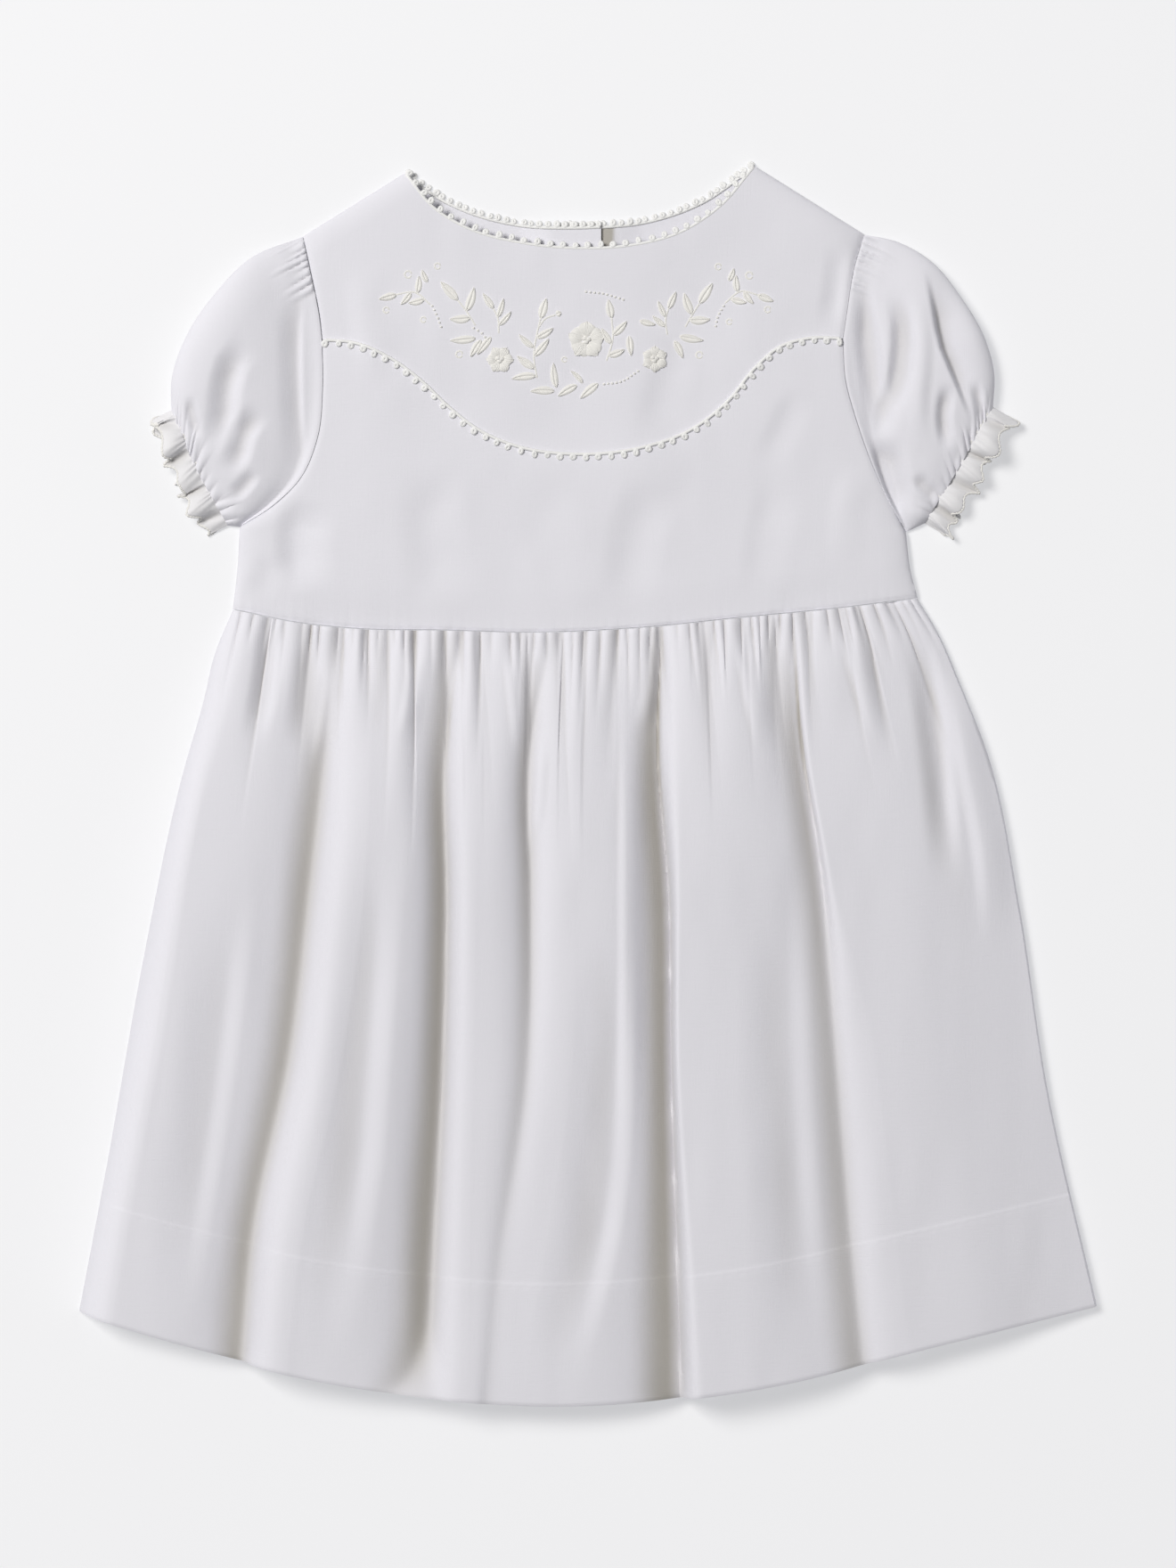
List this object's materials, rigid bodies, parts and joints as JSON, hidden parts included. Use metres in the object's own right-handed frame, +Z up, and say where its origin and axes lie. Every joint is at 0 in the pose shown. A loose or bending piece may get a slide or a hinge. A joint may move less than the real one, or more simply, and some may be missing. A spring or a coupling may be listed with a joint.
{
  "type": "baby party dress",
  "caption": "White cotton baby dress laid flat, with puffed short sleeves, frilled elastic cuffs, a curved yoke edged with picots and a gathered skirt.",
  "frame": {"origin": "on the flat underside of the skirt back, at the middle of the dress's length and width", "axes": "+Z up off the surface it lies on, +Y towards the neck, +X towards the right of a view from above with the neck at the top"},
  "size_m": [0.388, 0.4737, 0.019],
  "materials": {
    "white_cotton": "matt plain-weave cotton",
    "frill_ribbon": "soft woven ribbon with overlocked edges",
    "picot_thread": "twisted cotton thread",
    "button_pearl": "smooth pearly plastic"
  },
  "bodies": {
    "root": {"yoke_front": "white_cotton", "bodice_front": "white_cotton", "bodice_back_left": "white_cotton", "bodice_back_right": "white_cotton", "skirt_front": "white_cotton", "skirt_back": "white_cotton", "sleeve_left": "white_cotton", "sleeve_right": "white_cotton", "frill_left": "frill_ribbon", "frill_right": "frill_ribbon", "yoke_picots": "picot_thread", "neck_picots_front": "picot_thread", "neck_picots_back_left": "picot_thread", "neck_picots_back_right": "picot_thread", "button_1": "button_pearl", "button_2": "button_pearl", "button_3": "button_pearl"}
  },
  "joints": []
}
